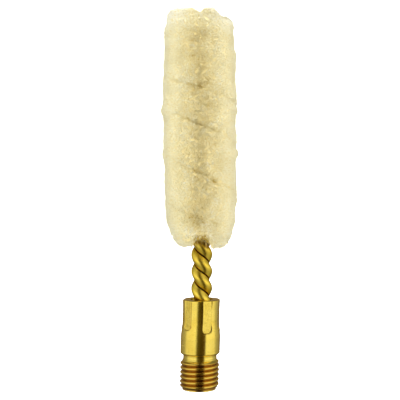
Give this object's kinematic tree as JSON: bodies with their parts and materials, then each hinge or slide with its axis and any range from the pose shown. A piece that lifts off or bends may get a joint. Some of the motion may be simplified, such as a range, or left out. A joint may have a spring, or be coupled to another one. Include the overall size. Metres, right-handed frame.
{
  "type": "cleaning rod mop tip",
  "caption": "Soft pile mop on a twisted brass wire stem, crimped into a turned brass ferrule with a male thread for a cleaning rod.",
  "frame": {"origin": "centre of the ferrule's threaded end face", "axes": "+Z along the tip's axis, from the thread to the mop end; -Y is the front"},
  "size_m": [0.0147, 0.0148, 0.0764],
  "materials": {
    "turned_brass": "turned, lightly tarnished",
    "brass_wire": "drawn wire",
    "wool_pile": "soft brushed cream pile"
  },
  "bodies": {
    "root": {"ferrule": "turned_brass", "stem_wire": "brass_wire", "wool_bundle_01": "wool_pile", "wool_bundle_02": "wool_pile", "wool_bundle_03": "wool_pile", "wool_bundle_04": "wool_pile", "wool_bundle_05": "wool_pile", "wool_bundle_06": "wool_pile", "wool_bundle_07": "wool_pile", "wool_bundle_08": "wool_pile", "wool_bundle_09": "wool_pile", "wool_bundle_10": "wool_pile", "wool_bundle_11": "wool_pile", "wool_bundle_12": "wool_pile", "wool_bundle_13": "wool_pile", "wool_bundle_14": "wool_pile", "wool_bundle_15": "wool_pile", "wool_bundle_16": "wool_pile", "wool_bundle_17": "wool_pile", "wool_bundle_18": "wool_pile"}
  },
  "joints": []
}
